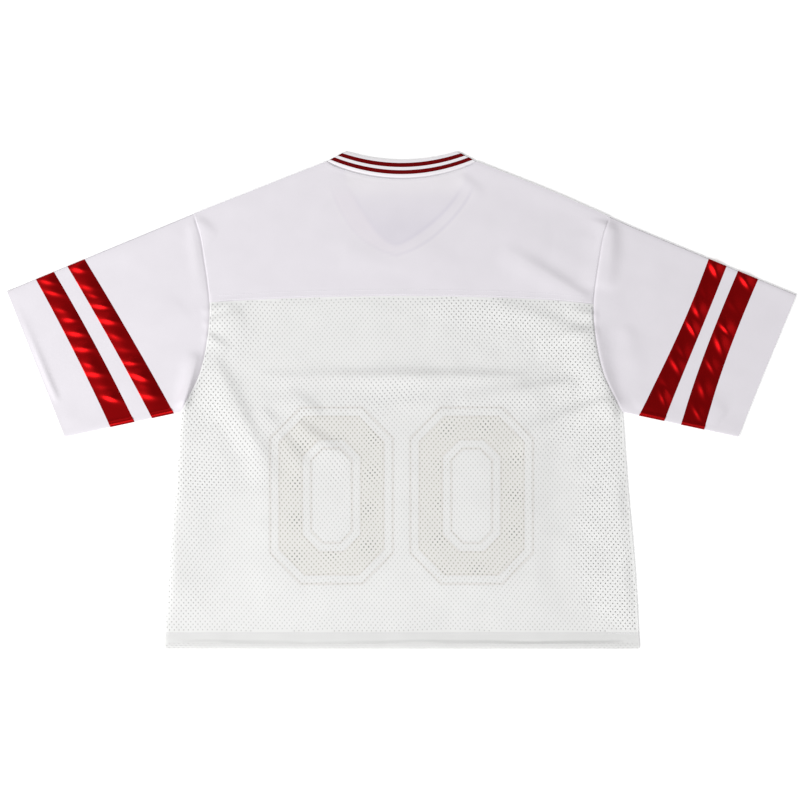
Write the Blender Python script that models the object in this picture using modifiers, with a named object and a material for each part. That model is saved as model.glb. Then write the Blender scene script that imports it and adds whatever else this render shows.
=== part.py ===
"""Mesh football jersey, laid flat with its back up.

Metres. +X is to the right as seen from above, +Y to the collar, +Z up. The front panels
lie on z = 0, the back panels lie on them, and each sleeve is a flattened tube in five
sewn bands. The left side is at -X. Every panel is the outer face of its cloth, drawn as
an open grid and given its wall by Solidify.
"""

import math
from collections import namedtuple

import bmesh
import bpy
import numpy as np

Point = namedtuple("Point", "x y")
SideRow = namedtuple("SideRow", "y half_width")
VRow = namedtuple("VRow", "seam_x seam_y edge_x edge_y")
Seam = namedtuple("Seam", "top_x bottom_x bow")
Fold = namedtuple("Fold", "x0 y0 x1 y1 height width")
Finish = namedtuple("Finish", "color roughness")

# Cloth
WALL = 0.0012
LAYER_GAP = 0.0003
ROLL = WALL + LAYER_GAP / 2  # outer radius of a folded edge: two layers are 2 * ROLL high
TWILL = 0.0010
SEAM_INSET = 0.0002  # each piece's share of the gap at a seam
SLEEVE_INSET = 0.00027
COLLAR_INSET = 0.0005
COLLAR_CORNER_INSET = 0.0014  # at the shoulders, where the rib's fold is thickest

# Outline
SHOULDER = Point(0.260, 0.233)
UNDERARM = Point(0.2756, -0.0145)
NECK = Point(0.094, 0.2985)
RIB_FOLD = Point(0.0705, 0.311)
CUFF_TOP = Point(0.493, 0.1366)
CUFF_BOTTOM = Point(0.4206, -0.0456)
HEM_Y = -0.3106
YOKE_END_Y = 0.1225
YOKE_ARCH = 0.0081
NECK_DIP = 0.0201
RIB_DIP = 0.0108
BODY_SIDES = (
    SideRow(HEM_Y, 0.2970),
    SideRow(-0.249, 0.2938),
    SideRow(-0.187, 0.2894),
    SideRow(-0.118, 0.2832),
    SideRow(UNDERARM.y, UNDERARM.x),
)
ARMHOLE = (
    SideRow(UNDERARM.y, UNDERARM.x),
    SideRow(0.006, 0.2650),
    SideRow(0.032, 0.2530),
    SideRow(0.064, 0.2450),
    SideRow(0.096, 0.2406),
    SideRow(YOKE_END_Y, 0.2400),
    SideRow(0.146, 0.2423),
    SideRow(0.175, 0.2465),
    SideRow(0.207, 0.2520),
    SideRow(SHOULDER.y, SHOULDER.x),
)
CORNER_X = 0.0915  # the rib's fold at a shoulder lies beyond this

# The right shoulder and the top of its sleeve lie lower than the left ones
RIGHT_DROOP = 0.0045
DROOP_FROM = Point(0.170, 0.0)
DROOP_REACH = Point(0.130, 0.150)

# The front V from the shoulder to its point: seam with the yoke, and free edge of the rib
FRONT_V = (
    VRow(NECK.x, NECK.y, RIB_FOLD.x, RIB_FOLD.y),
    VRow(0.0905, 0.2720, 0.0693, 0.2776),
    VRow(0.0810, 0.2490, 0.0617, 0.2593),
    VRow(0.0660, 0.2260, 0.0488, 0.2395),
    VRow(0.0460, 0.2045, 0.0318, 0.2212),
    VRow(0.0230, 0.1895, 0.0130, 0.2090),
    VRow(0.0, 0.1810, 0.0, 0.2045),
)

# Seams across a sleeve: where each meets the top fold and the underarm fold, and how far
# it bows towards the cuff
SLEEVE_SEAMS = {
    "left": (
        Seam(0.3959, 0.2840, -0.0013),
        Seam(0.4175, 0.3114, -0.0014),
        Seam(0.4342, 0.3333, -0.0022),
        Seam(0.4568, 0.3635, -0.0019),
    ),
    "right": (
        Seam(0.3838, 0.2964, 0.0034),
        Seam(0.4061, 0.3280, 0.0000),
        Seam(0.4204, 0.3490, -0.0031),
        Seam(0.4455, 0.3779, -0.0036),
    ),
}
SLEEVE_BANDS = (("upper", 7), ("stripe_inner", 1), ("middle", 1), ("stripe_outer", 1), ("cuff", 2))

# Surface of the back layer
LOFT = 0.0015  # how far the back layer puffs up away from the edges
EDGE_RAMP = 0.022
HEM_DEPTH = 0.0200
HEM_RISE = 0.0008
HEM_STEP = 0.0012
FOLDS = (
    Fold(-0.244, 0.082, -0.139, -0.077, 0.0030, 0.010),
    Fold(-0.142, 0.012, -0.071, -0.049, 0.0018, 0.011),
    Fold(-0.127, 0.037, 0.223, 0.034, 0.0018, 0.012),
    Fold(0.243, 0.003, 0.152, -0.047, 0.0025, 0.010),
    Fold(0.238, 0.106, 0.179, 0.078, 0.0018, 0.010),
    Fold(0.241, 0.070, 0.198, 0.061, 0.0014, 0.009),
    Fold(0.236, 0.131, 0.146, 0.187, 0.0028, 0.011),
    Fold(-0.257, 0.232, -0.229, 0.213, 0.0014, 0.010),
    Fold(0.264, 0.228, 0.262, 0.126, -0.0012, 0.011),
    Fold(0.252, 0.088, 0.329, 0.054, 0.0016, 0.013),
    Fold(0.078, 0.279, 0.101, 0.266, 0.0009, 0.009),
    Fold(-0.276, -0.090, -0.215, -0.140, 0.0015, 0.012),
    Fold(0.278, -0.150, 0.205, -0.190, 0.0014, 0.012),
    Fold(-0.452, 0.095, -0.413, -0.005, 0.0012, 0.009),
)

# Digits on the front panel
DIGIT_SIZE = Point(0.152, 0.219)
DIGIT_STROKE = 0.050
DIGIT_CHAMFER = 0.038
DIGIT_HOLE_CHAMFER = 0.015
DIGIT_OFFSET = 0.0875
DIGIT_Y = -0.1188
DIGIT_GAP = 0.00035
DIGIT_RISE = TWILL + DIGIT_GAP  # the front panel passes this high over the digits
DIGIT_MARGIN = 0.003
DIGIT_SLOPE = 0.015
BACK_SLOPE = 0.050  # the back layer falls more softly from the digits
DIGITS_X = DIGIT_OFFSET + DIGIT_SIZE.x / 2 + DIGIT_MARGIN
DIGITS_LOW = DIGIT_Y - DIGIT_SIZE.y / 2 - DIGIT_MARGIN
DIGITS_HIGH = DIGIT_Y + DIGIT_SIZE.y / 2 + DIGIT_MARGIN

# Grids
HEM_ROWS = 2
BODY_ROWS = 17
ARM_BODY_ROWS = 7
ARM_YOKE_ROWS = 5
BODY_COLUMNS = 40
SIDE_COLUMNS = 3
SLOPE_SHARES = (0, 0.3, 0.7, 1.1)
SHOULDER_COLUMNS = 9
NECK_COLUMNS = 12
YOKE_NECK_FOOT = 0.100  # where the column from the neck corner ends on the yoke seam
ARC_STEPS = 4

FINISHES = {
    "yoke": Finish((0.76, 0.74, 0.79), 0.80),
    "mesh": Finish((0.84, 0.84, 0.83), 0.85),
    "rib": Finish((0.82, 0.80, 0.82), 0.85),
    "satin": Finish((0.34, 0.002, 0.004), 0.35),
    "twill": Finish((0.70, 0.68, 0.64), 0.75),
}


def smoothstep(value):
    share = min(max(value, 0.0), 1.0)
    return share * share * (3 - 2 * share)


def smooth_curve(xs, ys):
    """A curve through the points with a slope at each from its neighbours."""
    slopes = np.gradient(np.array(ys), np.array(xs))

    def value(x):
        i = min(max(int(np.searchsorted(xs, x)) - 1, 0), len(xs) - 2)
        span = xs[i + 1] - xs[i]
        t = (x - xs[i]) / span
        rise = (1 + 2 * t) * (1 - t) ** 2 * ys[i] + t * t * (3 - 2 * t) * ys[i + 1]
        return rise + span * t * (1 - t) * ((1 - t) * slopes[i] - t * slopes[i + 1])

    return value


# The rows that the panels and the sleeves share along the armhole
ARM_ROWS = np.concatenate(
    (
        np.linspace(UNDERARM.y, YOKE_END_Y, ARM_BODY_ROWS + 1),
        np.linspace(YOKE_END_Y, SHOULDER.y, ARM_YOKE_ROWS + 1)[1:],
    )
)
armhole_curve = smooth_curve([row.y for row in ARMHOLE], [row.half_width for row in ARMHOLE])
ARM_WIDTHS = [armhole_curve(y) for y in ARM_ROWS]
side_curve = smooth_curve([row.y for row in BODY_SIDES], [row.half_width for row in BODY_SIDES])


def half_width(y):
    """Half the body's width: the side seam, then the armhole as one shared polyline."""
    if y < UNDERARM.y:
        return side_curve(y)
    return float(np.interp(y, ARM_ROWS, ARM_WIDTHS))


def line_y(start, end, x):
    return start.y + (end.y - start.y) * (x - start.x) / (end.x - start.x)


def neck_seam_y(x):
    return NECK.y - NECK_DIP * (1 - (x / NECK.x) ** 2)


def rib_edge_y(x):
    return RIB_FOLD.y - RIB_DIP * (1 - (x / RIB_FOLD.x) ** 2)


def yoke_seam_y(x):
    return YOKE_END_Y + YOKE_ARCH * (1 - (x / half_width(YOKE_END_Y)) ** 2)


def outline():
    """The outline of the flat garment, without the rib, anticlockwise from the hem."""
    right = [Point(half_width(row.y), row.y) for row in BODY_SIDES]
    right += [CUFF_BOTTOM, CUFF_TOP, SHOULDER, NECK]
    right += [Point(x, neck_seam_y(x)) for x in (NECK.x * 0.66, NECK.x * 0.33)]
    left = [Point(-point.x, point.y) for point in reversed(right)]
    return np.array(right + [Point(0.0, neck_seam_y(0))] + left)


OUTLINE = outline()
OUTLINE_STEPS = np.roll(OUTLINE, -1, axis=0) - OUTLINE


def edge_distance(x, y):
    """How far inside the outline a point lies."""
    away = np.array((x, y)) - OUTLINE
    along = (away * OUTLINE_STEPS).sum(axis=1) / (OUTLINE_STEPS**2).sum(axis=1)
    nearest = away - np.clip(along, 0, 1)[:, None] * OUTLINE_STEPS
    return float(np.sqrt((nearest**2).sum(axis=1)).min())


def digit_lift(x, y, slope):
    """How high a layer stands, to pass over the digits."""
    out_x = max(abs(x) - DIGITS_X, 0.0)
    out_y = max(DIGITS_LOW - y, y - DIGITS_HIGH, 0.0)
    return DIGIT_RISE * smoothstep(1 - math.hypot(out_x, out_y) / slope)


def fold_height(fold, x, y):
    """A soft ridge along the fold's line, highest near its start."""
    run = np.array((fold.x1 - fold.x0, fold.y1 - fold.y0))
    length = float(np.hypot(*run))
    away = np.array((x - fold.x0, y - fold.y0))
    share = float(away @ run) / length**2
    if not 0 < share < 1:
        return 0.0
    aside = float(away[0] * run[1] - away[1] * run[0]) / length
    return fold.height * math.sin(math.pi * share**0.6) * math.exp(-((aside / fold.width) ** 2))


def back_height(x, y):
    """Height of the back layer's outer face."""
    puff = LOFT + sum(fold_height(fold, x, y) for fold in FOLDS)
    hem = HEM_RISE * smoothstep((HEM_Y + HEM_DEPTH - y) / HEM_STEP)
    lift = digit_lift(x, y, BACK_SLOPE) + hem
    return 2 * ROLL + lift + smoothstep(edge_distance(x, y) / EDGE_RAMP) * puff


def front_height(x, y):
    """Height of the front layer's outer face, which is its underside."""
    return digit_lift(x, y, DIGIT_SLOPE)


def material(name):
    made = bpy.data.materials.new(name)
    made.use_nodes = True
    shader = made.node_tree.nodes["Principled BSDF"]
    shader.inputs["Base Color"].default_value = (*FINISHES[name].color, 1)
    shader.inputs["Roughness"].default_value = FINISHES[name].roughness
    return made


def drooped(x, y, z):
    """The point with the right shoulder let down."""
    across = smoothstep((x - DROOP_FROM.x) / DROOP_REACH.x)
    up = smoothstep((y - DROOP_FROM.y) / DROOP_REACH.y)
    return x, y - RIGHT_DROOP * across * up, z


def add_shell(name, points, finish, closed=False, faces_down=False):
    """A cloth panel: its outer face as a grid of rows of points, walled inwards.

    closed joins the last column to the first, as round a tube."""
    rows = len(points)
    columns = len(points[0])
    mesh = bmesh.new()
    bmesh.ops.create_grid(mesh, x_segments=columns - 1, y_segments=rows - 1, size=1)
    for vertex in mesh.verts:
        column = round((vertex.co.x + 1) / 2 * (columns - 1))
        row = round((vertex.co.y + 1) / 2 * (rows - 1))
        vertex.co = drooped(*points[row][column])
    if closed:
        bmesh.ops.remove_doubles(mesh, verts=mesh.verts, dist=1e-6)
    if faces_down:
        bmesh.ops.reverse_faces(mesh, faces=mesh.faces)
    data = bpy.data.meshes.new(name)
    mesh.to_mesh(data)
    mesh.free()
    data.shade_smooth()
    shell = place(bpy.data.objects.new(name, data), finish)
    wall = shell.modifiers.new("Wall", "SOLIDIFY")
    wall.thickness = WALL
    wall.offset = -1
    wall.use_even_offset = True
    return shell


def place(made, finish):
    made.data.materials.append(FINISH_MATERIALS[finish])
    made.parent = ORIGIN
    JERSEY.objects.link(made)
    return made


def body_points(rows, columns_at, height):
    """Rows of the mesh panel from the hem to the yoke seam.

    columns_at gives the columns' x for a row's half width."""
    points = []
    top = rows[-1]
    for y in rows:
        width = half_width(y) - (SEAM_INSET if y >= UNDERARM.y else 0)
        share = (y - HEM_Y) / (top - HEM_Y)
        line = []
        for x in columns_at(width):
            y_here = y + share * (yoke_seam_y(x) - YOKE_END_Y) - (SEAM_INSET if y == top else 0)
            line.append((x, y_here, height(x, y_here)))
        points.append(line)
    return points


def back_columns(width):
    return np.linspace(-width, width, BODY_COLUMNS + 1)


def front_columns(width):
    """Even over the digits, close on the slope beside them, then even to the side."""
    half = [DIGITS_X * share for share in (0, 0.35, 0.7)]
    half += [DIGITS_X + DIGIT_SLOPE * share for share in SLOPE_SHARES]
    half += list(np.linspace(half[-1], width, SIDE_COLUMNS + 1)[1:])
    return [-x for x in reversed(half[1:])] + half


def build_body():
    arm_rows = ARM_ROWS[: ARM_BODY_ROWS + 1]
    hem_top = HEM_Y + HEM_DEPTH
    hem = np.linspace(HEM_Y, hem_top - HEM_STEP, HEM_ROWS)
    lower = np.linspace(hem_top, UNDERARM.y, BODY_ROWS + 1)[:-1]
    rows = np.concatenate((hem, lower, arm_rows))
    add_shell("back_body", body_points(rows, back_columns, back_height), "mesh")

    below = [DIGITS_LOW - DIGIT_SLOPE * share for share in SLOPE_SHARES]
    above = [DIGITS_HIGH + DIGIT_SLOPE * share for share in SLOPE_SHARES]
    middle = [(DIGITS_LOW + DIGITS_HIGH) / 2]
    rows = sorted({HEM_Y, *below, *middle, *above, *arm_rows})
    points = body_points(rows, front_columns, front_height)
    add_shell("front_body", points, "mesh", faces_down=True)


def yoke_points(neck_line, height):
    """Rows of a yoke from its seam with the body to the shoulders and the neck line,
    which is a list of points from the right neck corner to the left one."""
    shoulder = [
        (
            SHOULDER.x + (NECK.x - SHOULDER.x) * share,
            SHOULDER.y + (NECK.y - SHOULDER.y) * share,
            half_width(YOKE_END_Y) + (YOKE_NECK_FOOT - half_width(YOKE_END_Y)) * share,
        )
        for share in np.linspace(0, 1, SHOULDER_COLUMNS + 1)[:-1]
    ]
    feet = np.linspace(YOKE_NECK_FOOT, -YOKE_NECK_FOOT, len(neck_line))
    neck = [(point.x, point.y, foot) for point, foot in zip(neck_line, feet)]
    right = shoulder + neck
    columns = right + [(-x, y, -foot) for x, y, foot in reversed(shoulder)]
    columns.reverse()
    edge_foot = half_width(YOKE_END_Y)
    points = []
    for y_row in ARM_ROWS[ARM_BODY_ROWS:]:
        share = (y_row - YOKE_END_Y) / (SHOULDER.y - YOKE_END_Y)
        straight = edge_foot + (SHOULDER.x - edge_foot) * share
        bulge = half_width(y_row) - SEAM_INSET - straight
        line = []
        for top_x, top_y, foot in columns:
            foot_y = yoke_seam_y(foot) + SEAM_INSET
            x = foot + (top_x - foot) * share
            x += bulge * (foot / edge_foot) * abs(foot / edge_foot) ** 3
            y = foot_y + (top_y - foot_y) * share
            line.append((x, y, height(x, y)))
        points.append(line)
    return points


def neck_station(rows):
    """The V's rows from the right neck corner through its point to the left corner."""
    left = [row._replace(seam_x=-row.seam_x, edge_x=-row.edge_x) for row in reversed(rows[:-1])]
    return list(rows) + left


def build_yokes():
    back_neck = [Point(x, neck_seam_y(x)) for x in np.linspace(NECK.x, -NECK.x, NECK_COLUMNS + 1)]
    add_shell("back_yoke", yoke_points(back_neck, back_height), "yoke")
    front_neck = [Point(row.seam_x, row.seam_y) for row in neck_station(FRONT_V)]
    points = yoke_points(front_neck, front_height)
    add_shell("front_yoke", points, "yoke", faces_down=True)


def unit(start, end):
    step = np.subtract(end, start)
    return step / np.hypot(*step)


def fold_arc(corner, toward_back, toward_front, outward):
    """Points round a fold from the back layer to the front layer.

    corner is on the fold, toward_back and toward_front lead away from it along the edge
    in each layer, and outward is the fold's normal. Each point is (x, y, z)."""
    arc = []
    for step in range(ARC_STEPS + 1):
        angle = math.pi / 2 - math.pi * step / ARC_STEPS
        along = toward_back if angle > 0 else toward_front
        depth = ROLL * (1 - math.cos(angle)) / -float(np.dot(along, outward))
        x, y = np.array(corner) + along * depth
        arc.append((x, y, ROLL * (1 + math.sin(angle))))
    return arc


def build_collar():
    """One rib ring: the back neck in the upper layer, the V in the lower layer."""
    xs = np.linspace(-1, 1, NECK_COLUMNS + 1)
    back = [VRow(x * NECK.x, neck_seam_y(x * NECK.x), x * RIB_FOLD.x, rib_edge_y(x * RIB_FOLD.x)) for x in xs]
    front = neck_station(FRONT_V)
    fold_line = unit(NECK, RIB_FOLD)
    outward = np.array((fold_line[1], -fold_line[0]))
    outward *= math.copysign(1, outward[1])
    arcs = [
        fold_arc((rows[0][0], rows[0][1]), unit(rows[0], rows[1]), unit(rows[0], rows[2]), outward)
        for rows in (
            ((NECK.x, NECK.y), (back[-2].seam_x, back[-2].seam_y), (front[1].seam_x, front[1].seam_y)),
            (RIB_FOLD, (back[-2].edge_x, back[-2].edge_y), (front[1].edge_x, front[1].edge_y)),
        )
    ]
    seam = [(row.seam_x, row.seam_y, 2 * ROLL) for row in back[1:-1]] + arcs[0]
    edge = [(row.edge_x, row.edge_y, 2 * ROLL) for row in back[1:-1]] + arcs[1]
    seam += [(row.seam_x, row.seam_y, 0.0) for row in front[1:-1]]
    edge += [(row.edge_x, row.edge_y, 0.0) for row in front[1:-1]]
    for rim, arc in ((seam, arcs[0]), (edge, arcs[1])):
        rim += [(-x, y, z) for x, y, z in reversed(arc)]
        rim.append(rim[0])
    across = []
    for seam_point, edge_point in zip(np.array(seam), np.array(edge)):
        step = edge_point - seam_point
        inset = COLLAR_CORNER_INSET if abs(seam_point[0]) > CORNER_X else COLLAR_INSET
        across.append((seam_point + step * inset / np.linalg.norm(step), edge_point))
    points = [[rim * (1 - share) + free * share for rim, free in across] for share in (0, 0.5, 1)]
    add_shell("collar", points, "rib", closed=True)


def sleeve_lines(side):
    """Each seam across the sleeve as points from the underarm fold to the top fold."""
    shares = (ARM_ROWS - UNDERARM.y) / (SHOULDER.y - UNDERARM.y)
    lines = [[np.array((half_width(y), y)) for y in ARM_ROWS]]
    cuff = Seam(CUFF_TOP.x, CUFF_BOTTOM.x, 0.0)
    for seam in (*SLEEVE_SEAMS[side], cuff):
        bottom = np.array((seam.bottom_x, line_y(UNDERARM, CUFF_BOTTOM, seam.bottom_x)))
        top = np.array((seam.top_x, line_y(SHOULDER, CUFF_TOP, seam.top_x)))
        run = top - bottom
        bow = np.array((run[1], -run[0])) / np.hypot(*run) * seam.bow
        lines.append([bottom + run * w + bow * 4 * w * (1 - w) for w in shares])
    return lines


def tube_section(line, sign):
    """A closed section of the flattened sleeve over one line across it."""
    top_normal = unit(SHOULDER, CUFF_TOP)[::-1] * (-1, 1)
    under_normal = unit(UNDERARM, CUFF_BOTTOM)[::-1] * (1, -1)
    top_arc = fold_arc(line[-1], unit(line[-1], line[-2]), unit(line[-1], line[-2]), top_normal)
    under_arc = fold_arc(line[0], unit(line[0], line[1]), unit(line[0], line[1]), under_normal)
    back = [(x, y, back_height(sign * x, y)) for x, y in line[1:-1]]
    front = [(x, y, 0.0) for x, y in reversed(line[1:-1])]
    section = back + top_arc + front + under_arc[::-1]
    return [(sign * x, y, z) for x, y, z in [*section, section[0]]]


def build_sleeve(side, sign):
    lines = sleeve_lines(side)
    for index, (name, cells) in enumerate(SLEEVE_BANDS):
        inner = lines[index]
        outer = lines[index + 1]
        along = unit(inner[0], outer[0])
        across = unit(inner[0], inner[-1])
        slant = abs(along[0] * across[1] - along[1] * across[0])
        sections = []
        for share in np.linspace(0, 1, cells + 1):
            line = []
            for start, end in zip(inner, outer):
                run = end - start
                inset = SLEEVE_INSET / slant / np.hypot(*run)
                line.append(start + run * (inset + share * (1 - 2 * inset)))
            sections.append(tube_section(line, sign))
        finish = "satin" if "stripe" in name else "yoke"
        add_shell(f"sleeve_{side}_{name}", sections, finish, closed=True, faces_down=sign > 0)


def octagon(spline, size, chamfer):
    half_x = size.x / 2
    half_y = size.y / 2
    corners = []
    for across, up in ((1, -1), (1, 1), (-1, 1), (-1, -1)):
        ends = [(across * (half_x - chamfer), up * half_y), (across * half_x, up * (half_y - chamfer))]
        corners += ends if across * up < 0 else ends[::-1]
    spline.points.add(len(corners) - 1)
    for point, (x, y) in zip(spline.points, corners):
        point.co = (x, y, 0, 1)
    spline.use_cyclic_u = True


def build_digits():
    """Two block noughts of twill under the front panel."""
    hole = Point(DIGIT_SIZE.x - 2 * DIGIT_STROKE, DIGIT_SIZE.y - 2 * DIGIT_STROKE)
    for name, x in (("number_left", -DIGIT_OFFSET), ("number_right", DIGIT_OFFSET)):
        curve = bpy.data.curves.new(name, "CURVE")
        curve.dimensions = "2D"
        curve.fill_mode = "BOTH"
        curve.extrude = TWILL / 2
        octagon(curve.splines.new("POLY"), DIGIT_SIZE, DIGIT_CHAMFER)
        octagon(curve.splines.new("POLY"), hole, DIGIT_HOLE_CHAMFER)
        digit = place(bpy.data.objects.new(name, curve), "twill")
        digit.location = (x, DIGIT_Y, TWILL / 2)


for item in list(bpy.data.objects):
    bpy.data.objects.remove(item)
JERSEY = bpy.data.collections.new("mesh_football_jersey")
bpy.context.scene.collection.children.link(JERSEY)
ORIGIN = bpy.data.objects.new("jersey_origin", None)
JERSEY.objects.link(ORIGIN)
FINISH_MATERIALS = {name: material(name) for name in FINISHES}
build_body()
build_yokes()
build_collar()
build_sleeve("left", -1)
build_sleeve("right", 1)
build_digits()
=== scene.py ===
"""Looks of a mesh football jersey, laid flat with its back up, seen from straight above.

Metres, in the frame of the CAD model: +Y to the collar, +Z up, the front panels on z = 0.
Every CAD node is replaced by a fine cloth piece on the same outline, but for the right
shoulder, which droops a little.
"""

import math
import random
from collections import namedtuple

import bpy
import numpy as np
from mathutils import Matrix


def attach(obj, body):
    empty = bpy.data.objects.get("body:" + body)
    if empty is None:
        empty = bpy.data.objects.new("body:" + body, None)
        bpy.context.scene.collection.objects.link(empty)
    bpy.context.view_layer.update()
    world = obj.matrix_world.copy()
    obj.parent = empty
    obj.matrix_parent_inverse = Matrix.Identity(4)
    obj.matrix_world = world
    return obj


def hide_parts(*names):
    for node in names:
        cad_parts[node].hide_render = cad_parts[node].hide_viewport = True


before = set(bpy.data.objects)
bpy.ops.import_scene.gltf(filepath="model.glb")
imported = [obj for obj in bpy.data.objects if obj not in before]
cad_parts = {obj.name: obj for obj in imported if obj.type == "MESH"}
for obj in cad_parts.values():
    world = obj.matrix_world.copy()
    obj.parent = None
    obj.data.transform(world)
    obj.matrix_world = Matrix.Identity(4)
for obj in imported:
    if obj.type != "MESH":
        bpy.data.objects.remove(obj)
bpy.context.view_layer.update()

Point = namedtuple("Point", "x y")
SideRow = namedtuple("SideRow", "y half_width")
VRow = namedtuple("VRow", "seam_x seam_y edge_x edge_y")
Seam = namedtuple("Seam", "top_x bottom_x bow")
Fold = namedtuple("Fold", "x0 y0 x1 y1 height width bend lean")
Loose = namedtuple("Loose", "x y across down height")
Lattice = namedtuple("Lattice", "across down turn origin")
Softbox = namedtuple("Softbox", "name azimuth zenith distance width height radiance")

# ---------------------------------------------------------------- sizes, as in the CAD

ROLL = 0.00135  # outer radius of a folded edge
SHOULDER = Point(0.260, 0.233)
UNDERARM = Point(0.2756, -0.0145)
NECK = Point(0.094, 0.2985)
RIB_FOLD = Point(0.0705, 0.311)
CUFF_TOP = Point(0.493, 0.1366)
CUFF_BOTTOM = Point(0.4206, -0.0456)
HEM_Y = -0.3106
HEM_TOP_Y = -0.2895
YOKE_END_Y = 0.1225
YOKE_ARCH = 0.0081
NECK_DIP = 0.0201
RIB_DIP = 0.0108
HEM_HALF = 0.2970
YOKE_HALF = 0.240
BODY_SIDES = (
    SideRow(HEM_Y, HEM_HALF),
    SideRow(-0.249, 0.2938),
    SideRow(-0.187, 0.2894),
    SideRow(-0.118, 0.2832),
    SideRow(UNDERARM.y, UNDERARM.x),
)
ARMHOLE = (
    SideRow(UNDERARM.y, UNDERARM.x),
    SideRow(0.006, 0.2650),
    SideRow(0.032, 0.2530),
    SideRow(0.064, 0.2450),
    SideRow(0.096, 0.2406),
    SideRow(YOKE_END_Y, 0.2400),
    SideRow(0.146, 0.2423),
    SideRow(0.175, 0.2465),
    SideRow(0.207, 0.2520),
    SideRow(SHOULDER.y, SHOULDER.x),
)
FRONT_V = (
    VRow(NECK.x, NECK.y, RIB_FOLD.x, RIB_FOLD.y),
    VRow(0.0905, 0.2720, 0.0693, 0.2776),
    VRow(0.0810, 0.2490, 0.0617, 0.2593),
    VRow(0.0660, 0.2260, 0.0488, 0.2395),
    VRow(0.0460, 0.2045, 0.0318, 0.2212),
    VRow(0.0230, 0.1895, 0.0130, 0.2090),
    VRow(0.0, 0.1810, 0.0, 0.2045),
)
SLEEVE_SEAMS = {
    "left": (
        Seam(0.3959, 0.2840, -0.0013),
        Seam(0.4175, 0.3114, -0.0014),
        Seam(0.4342, 0.3333, -0.0022),
        Seam(0.4568, 0.3635, -0.0019),
    ),
    "right": (
        Seam(0.3838, 0.2964, 0.0034),
        Seam(0.4061, 0.3280, 0.0000),
        Seam(0.4204, 0.3490, -0.0031),
        Seam(0.4455, 0.3779, -0.0036),
    ),
}
SLEEVE_BANDS = ("upper", "stripe_inner", "middle", "stripe_outer", "cuff")
DIGIT_SIZE = Point(0.152, 0.219)
DIGIT_STROKE = 0.050
DIGIT_HOLE = Point(DIGIT_SIZE.x - 2 * DIGIT_STROKE, DIGIT_SIZE.y - 2 * DIGIT_STROKE)
DIGIT_CHAMFER = 0.038
DIGIT_HOLE_CHAMFER = 0.015
DIGIT_OFFSET = 0.0875
DIGIT_Y = -0.1188
DIGIT_BORDER = 0.011
DIGIT_LIFT = 0.00135
# The digits' layers: from and to which height
BORDER_Z = (0.00045, 0.00085)
OUTLINE_Z = (0.00086, 0.00096)
FACE_Z = (0.00005, 0.00100)
OUTLINE_INSET = -0.0012  # the dark edge line reaches this far past the border

# ------------------------------------------------------------------------- the cloth

KNIT_WALL = 0.0008
RIB_WALL = 0.0011
FRONT_Z = 0.0006
FRONT_KNIT_Z = 0.0001  # the front yoke's outer face, which is its underside
REST_Z = 0.00105  # the back mesh's middle where it lies on the front mesh
KNIT_RISE = 0.00050  # the knit is thicker, so it and the mesh next to it lie higher
KNIT_RISE_WIDTH = 0.016
FOLD_RISE = 0.00095  # and both are highest next to the folded edges of the outline
FOLD_RISE_WIDTH = 0.034
EDGE_DROP = 0.0002  # where they turn down over this width
EDGE_DROP_WIDTH = 0.0035
RAMP = 0.014
LEAST_GAP = 0.00030
SOFT_GAP = 0.0004
SEAM_DIP = 0.0009
SEAM_DIP_WIDTH = 0.0012
YOKE_RIDGE = 0.00030  # the seam allowance under the yoke's edge
YOKE_RIDGE_PLACE = 0.0026
YOKE_RIDGE_WIDTH = 0.0016
NECK_RIDGE = 0.00045  # and next to the collar
NECK_RIDGE_PLACE = 0.0028
NECK_RIDGE_WIDTH = 0.0016
# The right shoulder and the top of its sleeve lie lower than the left ones. The droop
# begins at DROOP_X and at y = 0, and is whole this much further out and up.
RIGHT_DROOP = 0.0045
DROOP_X = 0.17
DROOP_ACROSS = 0.13
DROOP_UP = 0.15
KNIT_STEP = 0.0028
SATIN_STEP = 0.0010
HOLE_RADIUS = 0.00085
BACK_LATTICE = Lattice(0.0059, 0.0069, 0.0, Point(0.0008, 0.0012))
FRONT_LATTICE = Lattice(0.00634, 0.00742, math.radians(4.2), Point(0.0, 0.0))

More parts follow.
